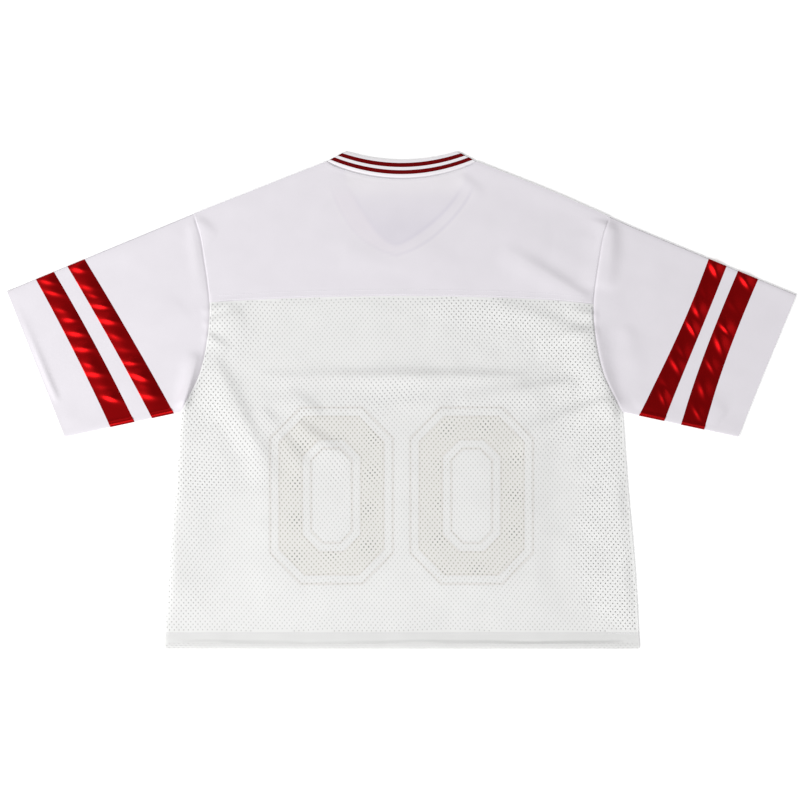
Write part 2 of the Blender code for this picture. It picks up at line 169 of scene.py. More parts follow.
# Creases of the back layer. One with no lean is an even ridge. One that leans falls
# steeply to the right of its run, or to the left below zero, and gently to the other side.
FOLDS = (
    # drag lines from the left armhole
    Fold(-0.2369, 0.0719, -0.146, -0.102, 0.003, 0.012, 0.0018, -1.0),
    Fold(-0.198, -0.01, -0.142, -0.115, 0.0007, 0.0095, 0.0, -1.0),
    Fold(-0.248, 0.088, -0.211, 0.066, 0.002, 0.0052, 0.0, -1.0),
    Fold(-0.252, 0.0965, -0.198, 0.1185, 0.0026, 0.0054, 0.001, -1.0),
    Fold(-0.252, 0.113, -0.208, 0.125, 0.0018, 0.0042, 0.0, -1.0),
    Fold(-0.1735, -0.0045, -0.146, -0.038, 0.0012, 0.008, 0.0, -1.0),
    Fold(-0.231, -0.025, -0.194, -0.13, 0.0019, 0.015, 0.0, -1.0),
    # drag lines across the upper left of the number
    Fold(-0.096, -0.014, -0.146, 0.021, 0.0016, 0.0084, 0.0, 1.0),
    Fold(-0.134, -0.02, -0.048, -0.076, 0.0017, 0.008, 0.001, -1.0),
    Fold(-0.152, -0.035, -0.108, -0.089, 0.0012, 0.0075, 0.0, -1.0),
    # the long one across the back
    Fold(-0.2, 0.0345, 0.235, 0.0345, 0.0015, 0.009, -0.0012, -1.0),
    Fold(0.165, 0.034, -0.115, 0.0355, 0.0019, 0.008, 0.001, 1.0),
    Fold(0.225, 0.03, 0.055, 0.0085, 0.003, 0.0092, -0.002, 1.0),
    # drag lines from the right armhole
    Fold(0.268, 0.005, 0.13, -0.059, 0.0042, 0.0092, 0.01, 1.0),
    Fold(0.248, 0.096, 0.162, 0.076, 0.0022, 0.0076, 0.001, 1.0),
    Fold(0.242, 0.085, 0.105, 0.13, 0.0021, 0.0095, 0.002, 1.0),
    Fold(0.248, 0.111, 0.204, 0.118, 0.0018, 0.0054, 0.0, 1.0),
    # low, broad waves down the sides
    Fold(-0.27, -0.038, -0.278, -0.15, 0.0014, 0.01, 0.0, -1.0),
    Fold(-0.28, -0.15, -0.285, -0.29, 0.002, 0.01, 0.001, -1.0),
    Fold(0.279, -0.085, 0.215, -0.16, 0.0013, 0.019, -0.004, 1.0),
    Fold(0.288, -0.18, 0.232, -0.258, 0.0014, 0.019, -0.003, 1.0),
    Fold(-0.08, -0.25, 0.07, -0.262, 0.0006, 0.02, 0.004, -1.0),
    # yoke
    Fold(0.244, 0.1285, 0.12, 0.204, 0.0026, 0.0098, -0.001, 1.0),
    Fold(0.238, 0.166, 0.108, 0.264, 0.0007, 0.022, 0.0, 1.0),
    Fold(0.244, 0.208, 0.19, 0.218, 0.0007, 0.011, 0.0, 1.0),
    Fold(-0.26, 0.236, -0.225, 0.206, 0.0018, 0.007, 0.0, -1.0),
    Fold(0.068, 0.29, 0.108, 0.258, 0.0011, 0.0054, 0.0, -1.0),
    Fold(-0.07, 0.286, -0.12, 0.236, 0.0006, 0.012, 0.0, 1.0),
    Fold(-0.085, 0.168, 0.085, 0.16, 0.0012, 0.019, 0.003, 1.0),
    # right sleeve
    Fold(0.266, 0.233, 0.26, 0.135, 0.0044, 0.0122, -0.0045, -1.0),
    Fold(0.272, 0.15, 0.335, 0.059, 0.0005, 0.018, 0.015, -1.0),
    Fold(0.283, -0.029, 0.249, 0.11, 0.005, 0.0135, -0.0092, 1.0),
    Fold(0.279, 0.1, 0.296, 0.02, 0.0012, 0.015, 0.0, 0.0),
    Fold(0.33, 0.02, 0.286, -0.004, 0.0014, 0.01, 0.0, 1.0),
    Fold(0.262, 0.214, 0.35, 0.176, 0.0004, 0.018, 0.0, -1.0),
    Fold(0.41, -0.015, 0.376, 0.018, 0.0018, 0.013, 0.0, 1.0),
    # left sleeve
    Fold(-0.28, -0.0394, -0.2488, 0.066, 0.0062, 0.005, 0.0012, 1.0),
    Fold(-0.26, 0.226, -0.244, 0.126, 0.0014, 0.0048, 0.0, -1.0),
    Fold(-0.258, 0.108, -0.345, 0.04, 0.0009, 0.022, 0.004, -1.0),
    Fold(-0.285, 0.012, -0.335, 0.06, 0.0007, 0.02, 0.0, 1.0),
    Fold(-0.262, 0.2, -0.34, 0.15, 0.0006, 0.018, 0.004, -1.0),
    Fold(-0.425, -0.007, -0.488, 0.131, 0.0062, 0.0062, 0.0, 1.0),
    Fold(-0.4, -0.025, -0.42, 0.01, 0.0006, 0.014, 0.0, 1.0),
)
# Where the back mesh stands off the front mesh, so that its holes are darker
LOOSE = (
    Loose(-0.218, 0.098, 0.026, 0.030, 0.0016),
    Loose(-0.195, -0.030, 0.026, 0.065, 0.0010),
    Loose(-0.262, -0.070, 0.030, 0.085, 0.0014),
    Loose(-0.272, -0.220, 0.032, 0.080, 0.0013),
    Loose(0.222, 0.070, 0.030, 0.050, 0.0013),
    Loose(0.256, -0.080, 0.034, 0.100, 0.0011),
    Loose(0.270, -0.230, 0.036, 0.080, 0.0007),
    Loose(-0.095, -0.018, 0.050, 0.024, 0.0006),
    Loose(0.080, -0.016, 0.110, 0.020, 0.0005),
    Loose(-0.100, -0.120, 0.050, 0.090, 0.0004),
    Loose(0.095, -0.130, 0.060, 0.095, 0.0005),
    Loose(0.000, -0.300, 0.330, 0.020, 0.0005),
    Loose(-0.100, 0.118, 0.150, 0.010, 0.0005),
    Loose(0.150, 0.114, 0.110, 0.016, 0.0014),
)
GENTLE = 2.0  # how many times wider a leaning crease is on its gentle side
FADE_IN = 0.10  # the shares of its run over which a crease begins and ends
FADE_OUT = 0.16
# The back hem: a slight rise from its stitching, then a step up, highest on the right
HEM_RISE = 0.0005
HEM_STEP_Y = -0.3013
HEM_STEP_WIDTH = 0.0042
HEM_ROUND = 0.0009
# Its turned part: the share of its height over the front mesh that each row falls by
TURN_GAP = 0.00035
TURN_FALL = 0.3
TURN_FALL_MOST = 0.75

# ------------------------------------------------------------------- shapes in plan


def smoothstep(value):
    share = np.clip(value, 0, 1)
    return share * share * (3 - 2 * share)


def smooth_curve(xs, ys):
    """A curve through the points with a slope at each from its neighbours."""
    xs = np.array(xs)
    ys = np.array(ys)
    slopes = np.gradient(ys, xs)

    def value(x):
        i = np.clip(np.searchsorted(xs, x) - 1, 0, len(xs) - 2)
        span = xs[i + 1] - xs[i]
        t = (x - xs[i]) / span
        rise = (1 + 2 * t) * (1 - t) ** 2 * ys[i] + t * t * (3 - 2 * t) * ys[i + 1]
        return rise + span * t * (1 - t) * ((1 - t) * slopes[i] - t * slopes[i + 1])

    return value


armhole_curve = smooth_curve([row.y for row in ARMHOLE], [row.half_width for row in ARMHOLE])
side_curve = smooth_curve([row.y for row in BODY_SIDES], [row.half_width for row in BODY_SIDES])
seam_steps = np.linspace(0, 1, len(FRONT_V))
v_curves = [smooth_curve(seam_steps, [row[i] for row in FRONT_V]) for i in range(4)]


def half_width(y):
    y = np.asarray(y, float)
    return np.where(y < UNDERARM.y, side_curve(y), armhole_curve(y))


def v_seam(share):
    """The front neck's seam, from the right shoulder to the bottom of the V."""
    return sampled(v_curves[0](share), v_curves[1](share))


def v_edge(share):
    """The rib's free edge along it."""
    return sampled(v_curves[2](share), v_curves[3](share))


def line_y(start, end, x):
    return start.y + (end.y - start.y) * (x - start.x) / (end.x - start.x)


def neck_seam_y(x):
    return NECK.y - NECK_DIP * (1 - (x / NECK.x) ** 2)


def rib_edge_y(x):
    return RIB_FOLD.y - RIB_DIP * (1 - (x / RIB_FOLD.x) ** 2)


def yoke_seam_y(x):
    return YOKE_END_Y + YOKE_ARCH * (1 - (x / YOKE_HALF) ** 2)


def joined(*runs):
    return np.concatenate([np.array(run, float).reshape(-1, 2) for run in runs])


def both_sides(right):
    """A run of points on the right, and the same on the left in reverse."""
    right = np.array(right, float)
    return right, right[::-1] * (-1, 1)


def sampled(xs, ys):
    return np.stack((xs, ys), axis=1)


side_y = np.linspace(HEM_Y, UNDERARM.y, 24)
arm_y = np.linspace(UNDERARM.y, SHOULDER.y, 40)
arm_low_y = np.linspace(UNDERARM.y, YOKE_END_Y, 26)
neck_x = np.linspace(NECK.x, -NECK.x, 33)
right_side, left_side = both_sides(sampled(half_width(side_y), side_y))
MIRRORED = (-1, 1)
top_fold = joined([NECK, SHOULDER, CUFF_TOP])
under_fold = joined([UNDERARM, CUFF_BOTTOM])
opening = joined([CUFF_TOP, CUFF_BOTTOM])
neck_seam = sampled(neck_x, neck_seam_y(neck_x))
SILHOUETTE = [
    top_fold * MIRRORED,
    top_fold,
    right_side,
    left_side,
    under_fold,
    under_fold * MIRRORED,
]
OPEN_EDGES = [
    opening,
    opening * MIRRORED,
    joined([(-HEM_HALF, HEM_Y), (HEM_HALF, HEM_Y)]),
    neck_seam,
]
right_arm, left_arm = both_sides(sampled(half_width(arm_y), arm_y))
yoke_x = np.linspace(-YOKE_HALF, YOKE_HALF, 41)
DIPPED_SEAMS = [right_arm, left_arm, neck_seam]
YOKE_SEAM = sampled(yoke_x, yoke_seam_y(yoke_x))


def feet(line, x, y):
    """The place nearest to each point, on one segment of a line after another."""
    for (ax, ay), (bx, by) in zip(line[:-1], line[1:]):
        run_x = bx - ax
        run_y = by - ay
        length = run_x * run_x + run_y * run_y
        if length < 1e-14:
            continue
        share = np.clip(((x - ax) * run_x + (y - ay) * run_y) / length, 0, 1)
        yield ax + share * run_x, ay + share * run_y


def distance_to(lines, x, y):
    """How far each point lies from the nearest of the lines."""
    best = np.full(np.shape(x), 9.0)
    for line in lines:
        for on_x, on_y in feet(line, x, y):
            best = np.minimum(best, np.hypot(x - on_x, y - on_y))
    return best


def fold_sum(x, y):
    """The height that the folds give: each is soft, and strongest near its start."""
    total = np.zeros(np.shape(x))
    for fold in FOLDS:
        run_x = fold.x1 - fold.x0
        run_y = fold.y1 - fold.y0
        length = math.hypot(run_x, run_y)
        share = ((x - fold.x0) * run_x + (y - fold.y0) * run_y) / length**2
        inside = np.clip(share, 0, 1)
        aside = ((x - fold.x0) * run_y - (y - fold.y0) * run_x) / length
        aside -= fold.bend * 4 * inside * (1 - inside)
        aside /= fold.width * (0.75 + 0.5 * inside)
        swell = np.sin(math.pi * inside**0.75) ** 0.7
        swell *= smoothstep(inside / FADE_IN) * smoothstep((1 - inside) / FADE_OUT)
        if fold.lean:
            past_crest = aside * fold.lean + 0.7
            aside = np.where(past_crest > 0, past_crest, past_crest / GENTLE)
        total += fold.height * swell * np.exp(-(aside**2))
    return total


def hem_height(x, y):
    """How much higher the turned hem makes the back layer."""
    line = HEM_STEP_Y + 0.0008 * np.sin(x * 23 + 0.8) + 0.0003 * np.sin(x * 71)
    step = 0.0009 + 0.0003 * np.sin(x * 31 + 2.0) + 0.0009 * smoothstep((x + 0.05) / 0.15)
    step *= smoothstep((0.290 - abs(x)) / 0.03)
    rise = HEM_RISE * smoothstep((HEM_TOP_Y - y) / 0.010)
    rise += step * smoothstep((line - y) / HEM_STEP_WIDTH + 0.5)
    return rise - HEM_ROUND * smoothstep((HEM_Y + 0.0030 - y) / 0.0030)


def unevenness(x, y):
    """Slow, slight waves that no cloth is without."""
    waves = np.sin(x * 47 + 1.3 * np.sin(y * 31)) * np.sin(y * 39 + 0.7 + 1.1 * np.sin(x * 23))
    fine = np.sin(x * 118 + y * 63 + 0.5) * np.sin(y * 131 - x * 41 + 2.0)
    return 0.00035 * waves + 0.00010 * fine


def digit_lift(x, y, slope):
    margin = 0.003
    out_x = np.maximum(abs(x) - DIGIT_OFFSET - DIGIT_SIZE.x / 2 - margin, 0)
    out_y = np.maximum(abs(y - DIGIT_Y) - DIGIT_SIZE.y / 2 - margin, 0)
    return DIGIT_LIFT * smoothstep(1 - np.hypot(out_x, out_y) / slope)


def back_z(x, y):
    """Height of the back layer."""
    to_fold = distance_to(SILHOUETTE, x, y)
    to_edge = np.minimum(to_fold, distance_to(OPEN_EDGES, x, y))
    to_dip = distance_to(DIPPED_SEAMS, x, y)
    to_yoke = distance_to([YOKE_SEAM], x, y)
    to_seam = np.minimum(to_dip, to_yoke)
    on_mesh = (y < yoke_seam_y(x)) & (abs(x) < half_width(y))
    loose = sum(
        spot.height
        * np.exp(-(((x - spot.x) / spot.across) ** 2) - ((y - spot.y) / spot.down) ** 2)
        for spot in LOOSE
    )
    z = REST_Z + digit_lift(x, y, 0.030)
    z += KNIT_RISE * (1 - smoothstep(on_mesh * to_seam / KNIT_RISE_WIDTH))
    z += FOLD_RISE * (1 - smoothstep(to_fold / FOLD_RISE_WIDTH))
    z += hem_height(x, y) + loose * on_mesh
    ridge = np.exp(-(((to_yoke - YOKE_RIDGE_PLACE) / YOKE_RIDGE_WIDTH) ** 2))
    z += YOKE_RIDGE * ridge * (y > yoke_seam_y(x)) * (abs(x) < half_width(y))
    to_neck = distance_to([neck_seam], x, y)
    ridge = np.exp(-(((to_neck - NECK_RIDGE_PLACE) / NECK_RIDGE_WIDTH) ** 2))
    z += NECK_RIDGE * ridge * smoothstep(to_fold / 0.010)
    z += smoothstep(to_edge / RAMP) * (fold_sum(x, y) + unevenness(x, y))
    least = front_z(x, y) + LEAST_GAP + np.where(on_mesh, 0, KNIT_WALL)
    z = least + (z - least + np.hypot(z - least, SOFT_GAP)) / 2
    z -= EDGE_DROP * (1 - smoothstep(to_fold / EDGE_DROP_WIDTH))
    z -= SEAM_DIP * np.exp(-((to_dip / SEAM_DIP_WIDTH) ** 2)) * smoothstep(to_fold / 0.010)
    return z


def knit_z(x, y):
    """Height of the back layer's outer face where it is solid knit."""
    return back_z(x, y) + KNIT_WALL / 2


def front_z(x, y):
    """Height of the front layer, which lies on the floor and over the digits."""
    return FRONT_Z + digit_lift(x, y, 0.015)


# -------------------------------------------------------------------- mesh making


def drooped(points):
    """The points with the right shoulder let down a little."""
    points = np.array(points, float)
    share = smoothstep((points[:, 0] - DROOP_X) / DROOP_ACROSS)
    share *= smoothstep(points[:, 1] / DROOP_UP)
    points[:, 1] -= RIGHT_DROOP * share
    return points


def sharpen_rim(mesh):
    """Keep the open edges sharp, so that the wall at a seam doesn't bend the shading."""
    edges = np.empty(len(mesh.loops), np.int32)
    mesh.loops.foreach_get("edge_index", edges)
    sharp = mesh.attributes.new("sharp_edge", "BOOLEAN", "EDGE")
    sharp.data.foreach_set("value", np.bincount(edges, minlength=len(mesh.edges)) == 1)


def add_object(name, points, faces, materials, node=None, wall=0.0):
    mesh = bpy.data.meshes.new(name)
    mesh.from_pydata(drooped(points).tolist(), [], faces)
    mesh.update()
    mesh.shade_smooth()
    if wall:
        sharpen_rim(mesh)
    for made in materials:
        mesh.materials.append(made)
    piece = bpy.data.objects.new(name, mesh)
    bpy.context.scene.collection.objects.link(piece)
    if wall:
        shell = piece.modifiers.new("Wall", "SOLIDIFY")
        shell.thickness = wall
        shell.offset = -1
    set_tint(piece, 1.0)
    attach(piece, "root")
    if node:
        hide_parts(node)
    return piece


def grid_faces(rows, columns, closed=False, flip=False):
    """Quads of a grid whose points run row by row. closed joins the last column to the first."""
    row = np.arange(rows - 1)[:, None]
    column = np.arange(columns if closed else columns - 1)[None, :]
    after = (column + 1) % columns
    corners = np.stack(
        (
            row * columns + column + 0 * after,
            row * columns + after,
            (row + 1) * columns + after,
            (row + 1) * columns + column + 0 * after,
        ),
        axis=-1,
    ).reshape(-1, 4)
    return (corners[:, ::-1] if flip else corners).tolist()


def as_points(x, y, z):
    return np.stack((x, y, z), axis=-1).reshape(-1, 3)


def set_tint(piece, tints):
    """A colour that the material multiplies its own by, at each point."""
    layers = piece.data.color_attributes
    layer = layers.get("tint") or layers.new("tint", "FLOAT_COLOR", "POINT")
    values = np.ones((len(piece.data.vertices), 4), np.float32)
    values[:, :3] = tints
    layer.data.foreach_set("color", values.ravel())


def planar_map(piece):
    """The map for the baked colours: the piece as seen from above."""
    layer = piece.data.uv_layers.new(name="OFBake")
    points = np.empty(len(piece.data.vertices) * 3, np.float32)
    piece.data.vertices.foreach_get("co", points)
    points = points.reshape(-1, 3)[:, :2]
    low = points.min(axis=0)
    side = (points.max(axis=0) - low).max() * 1.002
    loops = np.empty(len(piece.data.loops), np.int32)
    piece.data.loops.foreach_get("vertex_index", loops)
    layer.data.foreach_set("uv", ((points - low) / side)[loops].ravel())


def steps_between(length, step):
    """Shares from 0 to 1, a step apart and closer at both ends, where seams turn down."""
    close = np.array((0, 0.0006, 0.0013, 0.0024)) / length
    inner = np.linspace(close[-1], 1 - close[-1], max(int(length / step), 2) + 1)
    return np.unique(np.concatenate((close, inner, 1 - close)).round(9))


# ------------------------------------------------------------------------ materials


def set_inputs(node, values):
    for socket, value in values.items():
        node.inputs[socket].default_value = value


def node_of(tree, kind, inputs=None, **values):
    made = tree.nodes.new(kind)
    for key, value in values.items():
        setattr(made, key, value)
    set_inputs(made, inputs or {})
    return made


def link(tree, source, target):
    tree.links.new(source, target)


def maths(tree, operation, *values):
    """The result of a maths node on numbers and other nodes' results."""
    made = node_of(tree, "ShaderNodeMath", operation=operation)
    for socket, value in zip(made.inputs, values):
        if isinstance(value, bpy.types.NodeSocket):
            link(tree, value, socket)
        else:
            socket.default_value = value
    return made.outputs[0]


def octagon_depth(tree, x, y, size, chamfer):
    """How far inside a rectangle with cut corners a point lies."""
    depth_x = maths(tree, "SUBTRACT", size.x / 2, x)
    depth_y = maths(tree, "SUBTRACT", size.y / 2, y)
    corner = maths(tree, "SUBTRACT", maths(tree, "ADD", depth_x, depth_y), chamfer)
    nearer = maths(tree, "MINIMUM", depth_x, depth_y)
    return maths(tree, "MINIMUM", nearer, maths(tree, "MULTIPLY", corner, math.sqrt(0.5)))


# The digits under the front mesh, painted as shade into the mesh's colour where they would show
# through the cloth: how deep in the stroke, and how much of the rims' and of the face's painted
# shade lies there
PAINTED_GHOST = (
    (-0.0180, 0.0, 0.0),
    (-0.0032, 0.0, 0.0),
    (-0.0006, 1.0, 0.0),
    (0.0020, 0.0, 0.0),
    (0.0088, 0.0, 0.0),
    (0.0108, 0.9, 0.4),
    (0.0128, 0.0, 1.0),
)


def painted_ghost_color(tree, place, rim, face):
    """The painted shade that the digits under the front mesh give a layer's colour, standing in
    for them showing through the cloth: rim's on their outlines and face's inside."""
    split = node_of(tree, "ShaderNodeSeparateXYZ")
    link(tree, place, split.inputs[0])
    x = maths(tree, "SUBTRACT", maths(tree, "ABSOLUTE", split.outputs["X"]), DIGIT_OFFSET)
    x = maths(tree, "ABSOLUTE", x)
    y = maths(tree, "ABSOLUTE", maths(tree, "SUBTRACT", split.outputs["Y"], DIGIT_Y))
    outer = octagon_depth(tree, x, y, DIGIT_SIZE, DIGIT_CHAMFER)
    inner = octagon_depth(tree, x, y, DIGIT_HOLE, DIGIT_HOLE_CHAMFER)
    depth = maths(tree, "MINIMUM", outer, maths(tree, "MULTIPLY", inner, -1))
    low = PAINTED_GHOST[0][0]
    span = PAINTED_GHOST[-1][0] - low
    ramp = node_of(tree, "ShaderNodeValToRGB")
    stops = ramp.color_ramp.elements
    for index, (at, rim_share, face_share) in enumerate(PAINTED_GHOST):
        stop = stops[index] if index < 2 else stops.new(1.0)
        stop.position = (at - low) / span
        color = 1 - rim_share * (1 - np.array(rim)) - face_share * (1 - np.array(face))
        stop.color = (*color, 1)
    link(tree, maths(tree, "DIVIDE", maths(tree, "SUBTRACT", depth, low), span), ramp.inputs[0])
    return ramp.outputs["Color"]


def multiplied(tree, tint):
    """A node that multiplies its colour A by a tint."""
    made = node_of(tree, "ShaderNodeMix", {"Factor": 1}, data_type="RGBA", blend_type="MULTIPLY")
    link(tree, tint, made.inputs["B"])
    return made


def cloth_material(
    name, color, roughness, grain, depth, through=0.0, metallic=0.0, gloss=0.5, painted_ghost=None
):
    """Cloth of one colour with slight unevenness, a knit's grain in its bump, and either the
    piece's tint, which holds painted shade on the back yoke, or the digits' painted shade.
    through is the share of light that it lets through."""
    made = bpy.data.materials.new(name)
    made.use_nodes = True
    tree = made.node_tree
    shader = tree.nodes["Principled BSDF"]
    looks = {"Roughness": roughness, "Metallic": metallic, "Specular IOR Level": gloss}
    set_inputs(shader, looks)
    place = node_of(tree, "ShaderNodeTexCoord").outputs["Object"]
    mottle = node_of(tree, "ShaderNodeTexNoise", {"Scale": 38, "Detail": 4})
    link(tree, place, mottle.inputs["Vector"])
    shade = node_of(tree, "ShaderNodeMapRange", {"To Min": 0.965, "To Max": 1.02})
    link(tree, mottle.outputs["Fac"], shade.inputs["Value"])
    even = multiplied(tree, shade.outputs["Result"])
    even.inputs["A"].default_value = (*color, 1)
    if painted_ghost:
        shown = painted_ghost_color(tree, place, *painted_ghost)
    else:
        shown = node_of(tree, "ShaderNodeVertexColor", layer_name="tint").outputs["Color"]
    tinted = multiplied(tree, shown)
    link(tree, even.outputs["Result"], tinted.inputs["A"])
    link(tree, tinted.outputs["Result"], shader.inputs["Base Color"])
    loops = node_of(tree, "ShaderNodeTexVoronoi", {"Scale": grain}, feature="F1")
    stretch = node_of(tree, "ShaderNodeMapping", {"Scale": (1.0, 0.62, 1.0)})
    link(tree, place, stretch.inputs["Vector"])
    link(tree, stretch.outputs["Vector"], loops.inputs["Vector"])
    bump = node_of(tree, "ShaderNodeBump", {"Strength": 0.35, "Distance": depth})
    link(tree, loops.outputs["Distance"], bump.inputs["Height"])
    link(tree, bump.outputs["Normal"], shader.inputs["Normal"])
    if through:
        glow = node_of(tree, "ShaderNodeBsdfTranslucent")
        link(tree, tinted.outputs["Result"], glow.inputs["Color"])
        mix = node_of(tree, "ShaderNodeMixShader")
        mix.inputs["Fac"].default_value = through
        link(tree, shader.outputs["BSDF"], mix.inputs[1])
        link(tree, glow.outputs["BSDF"], mix.inputs[2])
        link(tree, mix.outputs["Shader"], tree.nodes["Material Output"].inputs["Surface"])
    return made


KNIT = cloth_material("solid_knit", (0.665, 0.638, 0.678), 0.85, 900, 0.00010)
MESH_WHITE = (0.955, 0.955, 0.948)
# The front mesh is the same white knit, painted darker as shade where it lies under the back mesh
MESH_SHADED = (0.74, 0.74, 0.73)
# Painted shade of the digits under the front mesh, on the back mesh and on the front mesh: rims,
# then face
PAINTED_GHOST_OVER = ((0.935, 0.920, 0.905), (0.990, 0.980, 0.962))
PAINTED_GHOST_UNDER = ((0.66, 0.63, 0.60), (0.82, 0.80, 0.74))
MESH_FINISH = (0.85, 1100, 0.00012, 0.35)
MESH = cloth_material("mesh_knit", MESH_WHITE, *MESH_FINISH, painted_ghost=PAINTED_GHOST_OVER)
FRONT_MESH_PAINTED_SHADE = cloth_material("front_mesh_knit_painted_shade", MESH_SHADED, *MESH_FINISH, painted_ghost=PAINTED_GHOST_UNDER)
# The turned hem's mesh, painted darker than the same mesh elsewhere as shade
HEM_MESH_PAINTED_SHADE = cloth_material("hem_mesh_knit_painted_shade", (0.86, 0.86, 0.853), *MESH_FINISH)
RIB_WHITE = cloth_material("rib_white", (0.72, 0.70, 0.725), 0.85, 1200, 0.00008)
RIB_RED = cloth_material("rib_red", (0.118, 0.0015, 0.002), 0.9, 1200, 0.00008, gloss=0.04)
SATIN = cloth_material("red_satin", (0.35, 0.004, 0.005), 0.38, 2600, 0.00002, metallic=1.0)
TWILL_WHITE = cloth_material("white_twill", (0.80, 0.79, 0.77), 0.7, 1600, 0.00005)
LINING = cloth_material("number_lining", (0.62, 0.59, 0.54), 0.8, 1600, 0.00005)
FACE_LINING = cloth_material("face_lining", (0.07, 0.062, 0.055), 0.8, 1600, 0.00005)
TWILL_DARK = cloth_material("dark_twill", (0.045, 0.040, 0.040), 0.65, 1600, 0.00005)
TWILL_RED = cloth_material("red_twill", (0.28, 0.01, 0.012), 0.65, 1600, 0.00005)
THREAD = cloth_material("thread", (0.80, 0.79, 0.82), 0.6, 3000, 0.00003)

# ----------------------------------------------------------------------- mesh panels


def body_outline(low_y):
    """The mesh panel's outline down to a height, anticlockwise from its low left corner."""
    reach = float(half_width(low_y))
    low = sampled(np.linspace(-reach, reach, 61)[1:-1], np.full(59, low_y))
    rows = np.linspace(low_y, UNDERARM.y, 24)
    right_low, left_low = both_sides(sampled(half_width(rows), rows))
    right_arm_low, left_arm_low = both_sides(sampled(half_width(arm_low_y), arm_low_y))
    seam = sampled(yoke_x[::-1], yoke_seam_y(yoke_x))[1:-1]
    return joined(low, right_low, right_arm_low[1:], seam, left_arm_low[:-1], left_low)


def closed_line(outline):
    return np.concatenate((outline, outline[:1]))


def inside(outline, x, y):
    """Whether each point lies in the outline."""
    crossings = np.zeros(np.shape(x), bool)
    for (ax, ay), (bx, by) in zip(outline, np.roll(outline, -1, axis=0)):
        if ay == by:
            continue
        spans = (ay > y) != (by > y)
        crossings ^= spans & (x < ax + (y - ay) * (bx - ax) / (by - ay))
    return crossings


def nearest_on(outline, x, y):
    """The point of the outline nearest to each point."""
    best = np.full(np.shape(x), 9.0)
    found_x = np.array(x)
    found_y = np.array(y)
    for on_x, on_y in feet(closed_line(outline), x, y):
        away = np.hypot(x - on_x, y - on_y)
        closer = away < best
        best = np.where(closer, away, best)
        found_x = np.where(closer, on_x, found_x)
        found_y = np.where(closer, on_y, found_y)
    return found_x, found_y


def mesh_points(lattice, across, down):
    """Where the lattice's half steps lie in plan. The knit is slightly out of true."""
    u = across * lattice.across / 2
    v = down * lattice.down / 2
    x = lattice.origin.x + u * math.cos(lattice.turn) - v * math.sin(lattice.turn)
    y = lattice.origin.y + u * math.sin(lattice.turn) + v * math.cos(lattice.turn)
    sway = 0.0030 * np.sin(y * 17 + 0.6) + 0.0012 * np.sin(y * 52 + x * 21)
    rise = 0.0026 * np.sin(x * 14 + 1.1) + 0.0011 * np.sin(x * 43 - y * 18)
    return x + sway, y + rise


def lattice_plan(outline, lattice):
    """The plan of mesh knit with every hole cut: one diamond of cloth round each hole.

    Diamonds that cross the outline are drawn in to it, and those with no room stay whole."""
    reach = np.abs(outline).max() + 0.03
    most = int(2 * reach / min(lattice.across, lattice.down)) + 2
    steps = np.arange(-most, most + 1)
    across, down = np.meshgrid(steps, steps, indexing="ij")
    x, y = mesh_points(lattice, across, down)
    centre_x = x.copy()
    centre_y = y.copy()
    is_in = inside(outline, x, y)
    x[~is_in], y[~is_in] = nearest_on(outline, x[~is_in], y[~is_in])

    i, j = np.nonzero(((across + down) % 2 == 0)[1:-1, 1:-1])
    i += 1
    j += 1
    corner_i = np.stack((i + 1, i, i - 1, i), axis=1)
    corner_j = np.stack((j, j + 1, j, j - 1), axis=1)
    kept = is_in[corner_i, corner_j].any(axis=1) | is_in[i, j]
    i, j, corner_i, corner_j = i[kept], j[kept], corner_i[kept], corner_j[kept]
    middle = sampled(centre_x[i, j], centre_y[i, j])
    room = distance_to([closed_line(outline)], middle[:, 0], middle[:, 1])
    holed = is_in[i, j] & (room > HOLE_RADIUS + 0.0006)

    keys, index = np.unique(corner_i * len(steps) + corner_j, return_inverse=True)
    index = index.reshape(-1, 4)
    points = sampled(x.ravel()[keys], y.ravel()[keys])
    angles = np.radians(22.5 + 45 * np.arange(8))
    ring = np.stack((np.cos(angles), 1.15 * np.sin(angles)), axis=1) * HOLE_RADIUS
    rims = (middle[holed][:, None, :] + ring).reshape(-1, 2)
    plan = np.concatenate((points, rims))

    faces = [index[~holed]]
    first = len(points) + 8 * np.arange(holed.sum())
    for side in range(4):
        start = index[holed][:, side]
        after = index[holed][:, (side + 1) % 4]
        low = first + 2 * side
        before = first + (2 * side - 1) % 8
        faces.append(np.stack((start, low, before), axis=1))
        faces.append(np.stack((start, after, low + 1, low), axis=1))
    return plan, [face for group in faces for face in with_area(plan, group).tolist()]


def hem_strip():
    """The back hem, turned up inside: rows of points from its stitching round its edge and
    back, and the faces between them, with three rows of holes below the step."""
    cell = BACK_LATTICE.across / 4
    rows = [HEM_TOP_Y, -0.2905, -0.2916, -0.2930, -0.2946, -0.2962, -0.2976, -0.2988]
    rows += [-0.2997, -0.3005, -0.3012, -0.3019, -0.3027, -0.3040, -0.3053, -0.3066]
    rows += [-0.3079, -0.3092, HEM_Y]
    turned = [-0.3104, -0.3098, -0.3080, -0.3045, -0.2990, -0.2940, HEM_TOP_Y]
    count = int(2 * HEM_HALF / cell)
    share = np.linspace(-1, 1, count + 1)
    lines = []
    for number, y in enumerate(rows + turned):
        x = share * (half_width(y) - 0.0002)
        z = back_z(x, np.full_like(x, y))
        if number >= len(rows):
            fall = min(TURN_FALL_MOST, TURN_FALL * (number - len(rows) + 1))
            z = z - (z - front_z(x, y) - TURN_GAP) * fall
        lines.append(as_points(x, np.full_like(x, y), z))
    first_row = rows.index(-0.3027)
    holes = {
        (first_row + 2 * k, column) for k in range(3) for column in range((2 * k) % 4, count, 4)
    }
    faces = grid_faces(len(lines), count + 1, flip=True)
    places = [(row, column) for row in range(len(lines) - 1) for column in range(count)]
    kept = [face for face, place in zip(faces, places) if place not in holes]
    return np.concatenate(lines), kept


